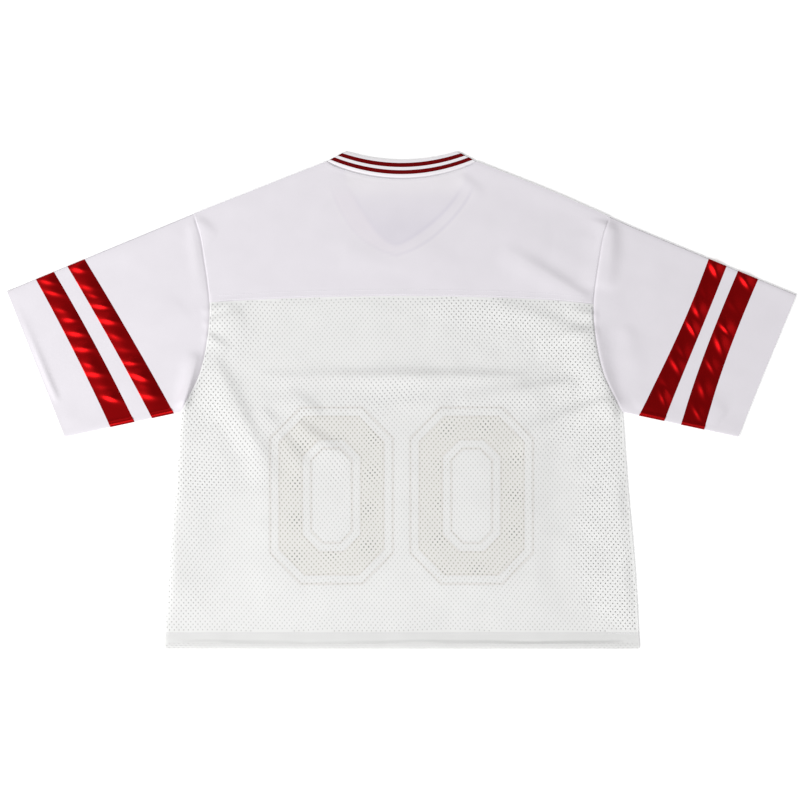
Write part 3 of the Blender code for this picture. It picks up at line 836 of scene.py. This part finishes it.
def mesh_sheet(name, low_y, lattice, height, node):
    """A panel of mesh knit, and with it the turned hem if there is one."""
    plan, faces = lattice_plan(body_outline(low_y), lattice)
    in_panel = len(faces)
    points = np.column_stack((plan, height(plan[:, 0], plan[:, 1])))
    if low_y > HEM_Y:
        strip, strip_faces = hem_strip()
        faces += [[corner + len(points) for corner in face] for face in strip_faces]
        points = np.concatenate((points, strip))
    finish = FRONT_MESH_PAINTED_SHADE if height is front_z else MESH
    piece = add_object(name, points, faces, [finish, HEM_MESH_PAINTED_SHADE], node)
    in_hem = np.arange(len(faces)) >= in_panel
    piece.data.polygons.foreach_set("material_index", in_hem.astype(np.int32))
    planar_map(piece)
    return piece


def with_area(points, faces):
    """The faces without those that hardly have an area, as one drawn in to the outline can."""
    x, y = np.moveaxis(points[faces], -1, 0)
    doubled = (x * np.roll(y, -1, axis=1) - y * np.roll(x, -1, axis=1)).sum(axis=1)
    return faces[abs(doubled) > 4e-9]


def build_mesh_panels():
    front = mesh_sheet("front_mesh", HEM_Y, FRONT_LATTICE, front_z, "front_body")
    turn = build_front_hem()
    back = mesh_sheet("back_mesh", HEM_TOP_Y, BACK_LATTICE, back_z, "back_body")


def build_front_hem():
    """The part of the front hem that is turned in, a plain strip on the panel's inside."""
    rows = np.array((HEM_Y + 0.0006, -0.3066, -0.3025, -0.2985, -0.2945, HEM_TOP_Y))
    x = np.linspace(-1, 1, 161)[None, :] * (half_width(rows)[:, None] - 0.0012)
    y = rows[:, None] + 0 * x
    points = as_points(x, y, front_z(x, y) + 0.0003)
    piece = add_object("front_hem_turn", points, grid_faces(*x.shape), [MESH])
    planar_map(piece)
    return piece


# ---------------------------------------------------------------------------- yokes


def yoke_grid(neck_x_line, neck_y_line, height):
    """Points of a yoke: rows from the body seam to the shoulders and the neck line."""
    edge = YOKE_HALF
    foot_neck = 0.100  # how far out the neck line reaches down at the body seam
    shoulder_share = steps_between(0.178, KNIT_STEP)
    shoulder_share = shoulder_share[shoulder_share < 0.985]
    shoulder_x = SHOULDER.x + (NECK.x - SHOULDER.x) * shoulder_share
    shoulder_y = SHOULDER.y + (NECK.y - SHOULDER.y) * shoulder_share
    shoulder_foot = edge + (foot_neck - edge) * shoulder_share
    feet = np.linspace(foot_neck, -foot_neck, len(neck_x_line))
    top_x = np.concatenate((shoulder_x, neck_x_line, -shoulder_x[::-1]))[::-1]
    top_y = np.concatenate((shoulder_y, neck_y_line, shoulder_y[::-1]))[::-1]
    foot = np.concatenate((shoulder_foot, feet, -shoulder_foot[::-1]))[::-1]
    share = steps_between(0.140, KNIT_STEP)[:, None]
    row_y = YOKE_END_Y + (SHOULDER.y - YOKE_END_Y) * share
    bulge = half_width(row_y) - (edge + (SHOULDER.x - edge) * share)
    x = foot + (top_x - foot) * share + bulge * (foot / edge) * abs(foot / edge) ** 3
    y = yoke_seam_y(foot) + (top_y - yoke_seam_y(foot)) * share
    return x, y, height(x, y)


def v_painted_shade(x, y):
    """The front neck as it would show through the back yoke, painted into the yoke's colour:
    painted shade inside the rib, where there is one layer, and in fine dark lines along the rib's
    edge and seam, clearest on the right; painted light beside the seam and inside the rib near
    the collar;
    and a painted pink where the rib lies under the yoke, on the left."""
    share = np.linspace(0, 1, 60)
    seam_line = np.concatenate((v_seam(share), v_seam(share)[::-1] * MIRRORED))
    edge_line = np.concatenate((v_edge(share), v_edge(share)[::-1] * MIRRORED))
    edge_line[:, 1] -= 0.010 * smoothstep(1 - abs(edge_line[:, 0]) / 0.050)
    edge_line[:, 0] += 0.009 * smoothstep(edge_line[:, 0] / 0.050)
    for line in (seam_line, edge_line):
        line[:, 0] -= 0.007 * smoothstep((0.262 - line[:, 1]) / 0.070)
    to_seam = distance_to([seam_line], x, y)
    to_edge = distance_to([edge_line], x, y)
    within_seam = smoothstep(np.where(inside(seam_line, x, y), to_seam, -to_seam) / 0.005 + 0.5)
    within_edge = smoothstep(np.where(inside(edge_line, x, y), to_edge, -to_edge) / 0.007 + 0.5)
    fade = smoothstep((0.272 - y) / 0.022)
    right = smoothstep((x + 0.05) / 0.1)
    # Painted shade: darker inside the rib and along its edge and seam, more on the right
    shade = within_edge * fade * (0.030 + 0.030 * smoothstep((0.235 - y) / 0.02))
    shade += within_seam * fade * 0.012
    shade += 0.075 * np.exp(-((to_edge / 0.0022) ** 2)) * fade * (0.45 + 0.55 * right)
    shade += 0.070 * np.exp(-((to_seam / 0.0020) ** 2)) * fade * (0.35 + 0.65 * right)
    # Painted light: a light line beside the seam, and lighter inside the rib near the collar
    shade -= 0.020 * np.exp(-(((to_seam - 0.0035) / 0.0014) ** 2)) * fade
    shade -= 0.040 * within_edge * smoothstep((y - 0.232) / 0.035)
    # Painted pink where the rib lies under the yoke, on the left
    painted_pink = 0.012 * within_seam * (1 - within_edge) * fade * (1 - right)
    dusky = shade[:, None] * np.array((1.0, 1.05, 0.72))
    return 1 - dusky - painted_pink[:, None] * np.array((0, 1.0, 0.6))


def build_yokes():
    span = np.linspace(NECK.x, -NECK.x, 75)
    x, y, z = yoke_grid(span, neck_seam_y(span), knit_z)
    points = as_points(x, y, z)
    faces = grid_faces(*x.shape)
    back = add_object("back_yoke_knit", points, faces, [KNIT], "back_yoke", KNIT_WALL)
    # The back yoke's colour carries the painted shade and light of the front neck
    set_tint(back, v_painted_shade(points[:, 0], points[:, 1]))

    right_v = v_seam(np.linspace(0, 1, 45))
    whole_v = np.concatenate((right_v, right_v[-2::-1] * MIRRORED))
    x, y, z = yoke_grid(*whole_v.T, lambda x, y: 0 * x + FRONT_KNIT_Z)
    points = as_points(x, y, z)
    faces = grid_faces(*x.shape, flip=True)
    front = add_object("front_yoke_knit", points, faces, [KNIT], "front_yoke", KNIT_WALL)


# --------------------------------------------------------------------------- collar


def unit(start, end):
    step = np.subtract(end, start)
    return step / np.hypot(*step)


def fold_arc(corner, toward_back, toward_front, outward, radius, steps):
    """Points round a fold from the back layer to the front layer, as (x, y, z)."""
    arc = []
    for step in range(steps + 1):
        angle = math.pi / 2 - math.pi * step / steps
        along = toward_back if angle > 0 else toward_front
        depth = radius * (1 - math.cos(angle)) / -float(np.dot(along, outward))
        x, y = np.array(corner) + along * depth
        arc.append((x, y, radius * (1 + math.sin(angle))))
    return arc


# The rib band from its free edge: how far each stripe reaches, and whether it is red
RIB_DEPTH = 0.0219
RIB_STRIPES = (
    (0.0035, False),
    (0.0087, True),
    (0.0126, False),
    (0.0176, True),
    (RIB_DEPTH, False),
)
RIB_PITCH = 0.0017
RIB_RELIEF = 0.00013


def rib_shares():
    """Shares of the band from its seam to its free edge, and whether each strip is red."""
    shares = [0.0]
    reds = []
    depth = RIB_DEPTH
    edges = [0.0] + [reach for reach, _ in RIB_STRIPES]
    for (reach, red), start in zip(reversed(RIB_STRIPES), reversed(edges[:-1])):
        cells = max(int((reach - start) / 0.0012), 2)
        for cell in range(1, cells + 1):
            shares.append((depth - reach + (reach - start) * cell / cells) / depth)
            reds.append(red)
    return np.array(shares), reds


def build_collar():
    back_share = np.linspace(-1, 1, 241)[4:-4]
    v_share = np.linspace(0, 1, 241)[3:]
    back_seam = sampled(back_share * NECK.x, neck_seam_y(back_share * NECK.x))
    back_edge = sampled(back_share * RIB_FOLD.x, rib_edge_y(back_share * RIB_FOLD.x))
    seam_v = v_seam(v_share)
    edge_v = v_edge(v_share)
    fold_line = unit(NECK, RIB_FOLD)
    outward = np.array((-fold_line[1], fold_line[0]))
    outward *= math.copysign(1, outward[1])
    rims = []
    for corner, back, front in ((NECK, back_seam, seam_v), (RIB_FOLD, back_edge, edge_v)):
        arc = fold_arc(corner, unit(corner, back[-4]), unit(corner, front[3]), outward, ROLL, 10)
        back_3d = [(x, y, 2 * ROLL) for x, y in back]
        front_half = [(x, y, 0.0) for x, y in front]
        left_half = [(-x, y, z) for x, y, z in reversed(front_half[:-1])]
        left_arc = [(-x, y, z) for x, y, z in reversed(arc)]
        rims.append(np.array(back_3d + arc + front_half + left_half + left_arc))
    seam, edge = rims
    shares, reds = rib_shares()
    middle = (seam + edge) / 2
    step = np.linalg.norm(middle - np.roll(middle, 1, axis=0), axis=1)
    travel = np.cumsum(step)
    pitch = travel[-1] / round(travel[-1] / RIB_PITCH)
    ribs = np.cos(travel / pitch * 2 * math.pi)
    # The band's own outward direction, up on the back layer and down on the front layer
    rise = (seam[:, 2] - ROLL) / ROLL
    points = []
    for share in shares:
        line = seam + (edge - seam) * share
        round_off = 0.0004 * (1 - (2 * share - 1) ** 8) + RIB_RELIEF * ribs
        tuck = SEAM_DIP * math.exp(-(((share * RIB_DEPTH) / SEAM_DIP_WIDTH) ** 2))
        line[:, 2] += (round_off - 0.0004 - tuck) * np.where(rise > 0, rise, 0)
        points.append(line)
    points = np.array(points)
    faces = grid_faces(len(shares), len(seam), closed=True)
    piece = add_object(
        "collar_rib", points.reshape(-1, 3), faces, [RIB_WHITE, RIB_RED], "collar", RIB_WALL
    )
    red_faces = np.repeat(np.array(reds, np.int32), len(seam))
    piece.data.polygons.foreach_set("material_index", red_faces)


# -------------------------------------------------------------------------- sleeves

Pucker = namedtuple("Pucker", "share across height width length turn")
BAND_HEIGHT = 0.200  # about a band's height laid flat, for the steps along it
# The low swelling of a satin band next to its underarm fold
SATIN_WELT = 0.0010
SATIN_WELT_PLACE = 0.0042
SATIN_WELT_WIDTH = 0.0022


def sleeve_line(side, index, w):
    """The index-th seam across a sleeve, at shares w from the underarm to the top fold."""
    if index == 0:
        y = UNDERARM.y + (SHOULDER.y - UNDERARM.y) * w
        return sampled(half_width(y), y)
    seams = (*SLEEVE_SEAMS[side], Seam(CUFF_TOP.x, CUFF_BOTTOM.x, 0.0))
    seam = seams[index - 1]
    bottom = np.array((seam.bottom_x, line_y(UNDERARM, CUFF_BOTTOM, seam.bottom_x)))
    top = np.array((seam.top_x, line_y(SHOULDER, CUFF_TOP, seam.top_x)))
    run = top - bottom
    bow = np.array((run[1], -run[0])) / np.hypot(*run) * seam.bow
    return bottom + run * w[:, None] + bow * (4 * w * (1 - w))[:, None]


def pucker_list(seed, low_turn, high_turn, pitch, size):
    """The puckers of a satin band, from its top fold to its underarm fold."""
    chance = random.Random(seed)
    puckers = []
    share = 0.04
    while share < 0.92:
        pucker = Pucker(
            share=share,
            across=chance.uniform(0.36, 0.64),
            height=chance.uniform(0.0006, 0.0024) * size,
            width=chance.uniform(0.0036, 0.0056),
            length=chance.uniform(0.0090, 0.0150) * size,
            turn=math.radians(chance.uniform(low_turn, high_turn)),
        )
        puckers.append(pucker)
        share += pitch * chance.uniform(0.7, 1.3)
    return puckers


def pucker_height(puckers, x, y, share, line_at, sign):
    """The puckers' height at points of the band's line at a share across it."""
    total = np.zeros(np.shape(x))
    pinned = math.sin(math.pi * min(max(share, 0), 1)) ** 0.4
    for pucker in puckers:
        centre_x, centre_y = line_at(pucker.across, np.array((1 - pucker.share,)))[0]
        off_x = x - sign * centre_x
        off_y = y - centre_y
        along = off_x * math.cos(pucker.turn) + off_y * math.sin(pucker.turn)
        aside = off_y * math.cos(pucker.turn) - off_x * math.sin(pucker.turn)
        aside = np.where(aside > 0, aside / GENTLE, aside)
        spread = (along / pucker.length) ** 2 + (aside / pucker.width) ** 2
        total += pucker.height * pinned * np.exp(-spread)
    return total


def build_band(side, sign, index, name, puckers):
    """One band of a sleeve: a flattened tube, open at both ends."""
    satin = puckers is not None
    step = SATIN_STEP if satin else KNIT_STEP
    w_top = np.linspace(0, 1, int(BAND_HEIGHT / step) + 1)[1:-1]
    w_under = np.linspace(0, 1, int(BAND_HEIGHT / (3 * step)) + 1)[1:-1][::-1]
    ends = np.array((0.0, 0.02, 0.98, 1.0))
    middle = sleeve_line(side, index, np.array((0.5,)))
    width = float(np.hypot(*(sleeve_line(side, index + 1, np.array((0.5,))) - middle)[0]))
    top_normal = unit(SHOULDER, CUFF_TOP)[::-1] * (-1, 1)
    under_normal = unit(UNDERARM, CUFF_BOTTOM)[::-1] * (1, -1)
    shares = steps_between(width, step)

    def line_at(share, w):
        inner = sleeve_line(side, index, w)
        outer = sleeve_line(side, index + 1, w)
        return inner + (outer - inner) * share

    sections = []
    for share in shares:
        top = line_at(share, w_top)
        under = line_at(share, w_under)
        corner = line_at(share, ends)
        x = sign * top[:, 0]
        z = knit_z(x, top[:, 1])
        if satin:
            z = z + pucker_height(puckers, x, top[:, 1], share, line_at, sign)
            from_welt = w_top * BAND_HEIGHT - SATIN_WELT_PLACE
            z += SATIN_WELT * np.exp(-((from_welt / SATIN_WELT_WIDTH) ** 2))
        toward_under = unit(corner[3], corner[2])
        toward_top = unit(corner[0], corner[1])
        top_arc = fold_arc(corner[3], toward_under, toward_under, top_normal, ROLL, 8)
        low_arc = fold_arc(corner[0], toward_top, toward_top, under_normal, ROLL, 8)
        section = [*zip(x, top[:, 1], z)]
        section += [(sign * px, py, pz) for px, py, pz in top_arc]
        section += [(sign * px, py, 0.0) for px, py in under]
        section += [(sign * px, py, pz) for px, py, pz in reversed(low_arc)]
        sections.append(section)
    points = np.array(sections)
    faces = grid_faces(points.shape[0], points.shape[1], closed=True, flip=sign > 0)
    finish = SATIN if satin else KNIT
    node = f"sleeve_{side}_{name}"
    flat = points.reshape(-1, 3)
    piece = add_object(f"{node}_cloth", flat, faces, [finish], node, KNIT_WALL)
    low, high = line_at(0.5, np.array((0.0, 1.0)))


def build_sleeves():
    # the least and greatest turn of the puckers in degrees, their pitch and their size
    puckering = {"left": (-18, 0, 0.085, 1.0), "right": (-74, -50, 0.130, 1.30)}
    for side, sign in (("left", -1), ("right", 1)):
        for index, name in enumerate(SLEEVE_BANDS):
            puckers = None
            if name.startswith("stripe"):
                puckers = pucker_list(f"{side} {name}", *puckering[side])
            build_band(side, sign, index, name, puckers)


# --------------------------------------------------------------------------- digits


def octagon(size, chamfer):
    """The eight corners of a rectangle with cut corners, anticlockwise."""
    corners = []
    for across, up in ((1, -1), (1, 1), (-1, 1), (-1, -1)):
        ends = [
            (across * (size.x / 2 - chamfer), up * size.y / 2),
            (across * size.x / 2, up * (size.y / 2 - chamfer)),
        ]
        corners += ends if across * up < 0 else ends[::-1]
    return corners


def grown(size, chamfer, by):
    """The same shape with every side moved out by a distance."""
    return Point(size.x + 2 * by, size.y + 2 * by), chamfer + by * (2 - math.sqrt(2))


def digit_layer(name, x, inset, low, high, finish, node=None, lining=LINING):
    """One layer of a nought, its sides set in from the widest layer's, and pale inside the
    jersey, where its lining shows."""
    outer = octagon(*grown(DIGIT_SIZE, DIGIT_CHAMFER, -inset))
    inner = octagon(*grown(DIGIT_HOLE, DIGIT_HOLE_CHAMFER, inset))
    points = []
    for z in (low, high):
        points += [(x + px, DIGIT_Y + py, z) for px, py in outer]
        points += [(x + px, DIGIT_Y + py, z) for px, py in inner]
    faces = []
    for corner in range(8):
        after = (corner + 1) % 8
        faces.append((corner, corner + 8, after + 8, after))
        faces.append((corner, after, after + 16, corner + 16))
        faces.append((corner + 16, after + 16, after + 24, corner + 24))
        faces.append((corner + 8, corner + 24, after + 24, after + 8))
    piece = add_object(name, points, faces, [finish, lining], node)
    inward = [0, 0, 1, 0] * 8
    piece.data.polygons.foreach_set("material_index", inward)
    piece.data.set_sharp_from_angle(angle=math.radians(30))
    return piece


def build_digits():
    """Two noughts of layered twill: a white border with a dark edge line under a dark face."""
    for node, x in (("number_left", -DIGIT_OFFSET), ("number_right", DIGIT_OFFSET)):
        border = digit_layer(f"{node}_border", x, 0.0, *BORDER_Z, TWILL_WHITE, node)
        outline = digit_layer(f"{node}_outline", x, OUTLINE_INSET, *OUTLINE_Z, TWILL_RED)
        face = digit_layer(
            f"{node}_face", x, DIGIT_BORDER, *FACE_Z, TWILL_DARK, lining=FACE_LINING
        )


# --------------------------------------------------------------------------- sewing


KNIT_THREAD_RISE = 0.0001  # the thread's middle lies this high on the cloth
MESH_THREAD_RISE = 0.0002


def points_along(line, travel, places):
    """The points of a line at distances along it, from its corners' own distances."""
    return sampled(*(np.interp(places, travel, values) for values in line.T))


def stitch_rows(name, lines, height, pitch=0.0032, length=0.0023, radius=0.00022):
    """Rows of stitches along lines in plan, each a small thread on the cloth."""
    points = []
    faces = []
    for line in lines:
        line = np.array(line)
        travel = np.concatenate(([0], np.cumsum(np.hypot(*np.diff(line, axis=0).T))))
        count = int(travel[-1] / pitch)
        places = (np.arange(count) + 0.5) * travel[-1] / count
        x, y = points_along(line, travel, places).T
        along = points_along(line, travel, places + 0.001)
        along -= points_along(line, travel, places - 0.001)
        along /= np.hypot(along[:, 0], along[:, 1])[:, None]
        z = height(x, y)
        for px, py, pz, (ax, ay) in zip(x, y, z, along):
            first = len(points)
            for share, size in ((-0.5, 0.45), (-0.32, 1.0), (0.32, 1.0), (0.5, 0.45)):
                for turn in range(6):
                    angle = math.pi / 3 * turn
                    aside = radius * size * math.cos(angle)
                    up = radius * size * math.sin(angle)
                    px_here = px + ax * share * length - ay * aside
                    py_here = py + ay * share * length + ax * aside
                    sink = 0.00012 if abs(share) == 0.5 else 0.0
                    points.append((px_here, py_here, pz + up - sink))
            for ring in range(3):
                for turn in range(6):
                    after = (turn + 1) % 6
                    low = first + 6 * ring
                    faces.append((low + turn, low + 6 + turn, low + 6 + after, low + after))
            faces.append(tuple(first + turn for turn in range(6)))
            faces.append(tuple(first + 18 + turn for turn in reversed(range(6))))
    add_object(name, points, faces, [THREAD])


def offset_line(line, by):
    """A line moved aside, to its left for a positive distance."""
    line = np.array(line)
    run = np.gradient(line, axis=0)
    run /= np.hypot(run[:, 0], run[:, 1])[:, None]
    return line + np.stack((-run[:, 1], run[:, 0]), axis=1) * by


def knit_top(x, y):
    return knit_z(x, y) + KNIT_THREAD_RISE


def mesh_top(x, y):
    return back_z(x, y) + MESH_THREAD_RISE


def build_stitches():
    seam = sampled(yoke_x, yoke_seam_y(yoke_x))[1:-1]
    neck = sampled(neck_x, neck_seam_y(neck_x))[1:-1]
    arms = [offset_line(right_arm, 0.0022), offset_line(left_arm[::-1], -0.0022)]
    knit_lines = [offset_line(seam, 0.0022), offset_line(seam, 0.0078), offset_line(neck, 0.0022)]
    upper_arms = [line[line[:, 1] > YOKE_END_Y + 0.004] for line in arms]
    lower_arms = [line[line[:, 1] < YOKE_END_Y - 0.002] for line in arms]
    stitch_rows("yoke_stitches", knit_lines + upper_arms, knit_top)
    hem = [sampled(np.linspace(-0.2935, 0.2935, 200), np.full(200, HEM_TOP_Y - 0.0012))]
    stitch_rows("body_stitches", hem + lower_arms, mesh_top)


# ------------------------------------------------------------------- camera and light

CAMERA_HEIGHT = 2.7778
CAMERA_AT = Point(-0.0019, 0.0006)
SOFTBOXES = (
    Softbox("key_lower_left", 224, 48, 4.0, 3.85, 2.31, 7.85),
    Softbox("fill_upper_left", 128, 50, 2.2, 1.7, 1.1, 1.2),
    Softbox("fill_right", 10, 52, 2.3, 1.5, 1.2, 1.2),
)
WORLD_LIGHT = 0.27
FLOOR_GLOW = 0.25
FLOOR_SIZE = 6.0
FLOOR_Z = -0.0003
SHADE_CARD_SCALE = 0.993  # the grey card of painted shade under the body, against the body's own outline
LENS_MM = 100
SENSOR_MM = 36


def add_stage_sheet(name, outline, z, paint_name, looks):
    """A flat sheet of one colour under the garment."""
    mesh = bpy.data.meshes.new(name)
    mesh.from_pydata([(x, y, z) for x, y in outline], [], [tuple(range(len(outline)))])
    paint = bpy.data.materials.new(paint_name)
    paint.use_nodes = True
    set_inputs(paint.node_tree.nodes["Principled BSDF"], {"Roughness": 0.9, **looks})
    mesh.materials.append(paint)
    sheet = bpy.data.objects.new(name, mesh)
    bpy.context.scene.collection.objects.link(sheet)


def build_studio():
    scene = bpy.context.scene
    floor_looks = {
        "Base Color": (0.9, 0.9, 0.9, 1),
        "Specular IOR Level": 0.0,
        "Emission Color": (1, 1, 1, 1),
        "Emission Strength": FLOOR_GLOW,
    }
    half = FLOOR_SIZE / 2
    corners = [(-half, -half), (half, -half), (half, half), (-half, half)]
    add_stage_sheet("floor", corners, FLOOR_Z, "floor_white", floor_looks)
    # Painted shade: a grey card under the body keeps what shows through both mesh layers' holes
    # dark
    outline = body_outline(HEM_Y) * SHADE_CARD_SCALE
    shade_card_looks = {"Base Color": (0.75, 0.75, 0.75, 1)}
    add_stage_sheet("shade_card", outline, FLOOR_Z / 2, "shade_card_grey", shade_card_looks)

    for box in SOFTBOXES:
        azimuth = math.radians(box.azimuth)
        zenith = math.radians(box.zenith)
        light = bpy.data.lights.new(box.name, "AREA")
        light.shape = "RECTANGLE"
        light.size = box.width
        light.size_y = box.height
        light.energy = box.radiance * math.pi * box.width * box.height
        lamp = bpy.data.objects.new(box.name, light)
        lamp.location = (
            box.distance * math.sin(zenith) * math.cos(azimuth),
            box.distance * math.sin(zenith) * math.sin(azimuth),
            box.distance * math.cos(zenith),
        )
        lamp.rotation_euler = (zenith, 0, azimuth + math.pi / 2)
        scene.collection.objects.link(lamp)

    world = scene.world or bpy.data.worlds.new("studio")
    scene.world = world
    world.use_nodes = True
    background = world.node_tree.nodes["Background"]
    set_inputs(background, {"Color": (1.0, 1.0, 1.0, 1), "Strength": WORLD_LIGHT})

    lens = bpy.data.cameras.new("camera")
    lens.lens = LENS_MM
    lens.sensor_width = SENSOR_MM
    camera = bpy.data.objects.new("camera", lens)
    camera.location = (CAMERA_AT.x, CAMERA_AT.y, CAMERA_HEIGHT)
    scene.collection.objects.link(camera)
    scene.camera = camera
    scene.view_settings.view_transform = "Standard"
    scene.view_settings.look = "None"


# ------------------------------------------------------------------------- the object

build_studio()
build_digits()
build_mesh_panels()
build_yokes()
build_collar()
build_sleeves()
build_stitches()
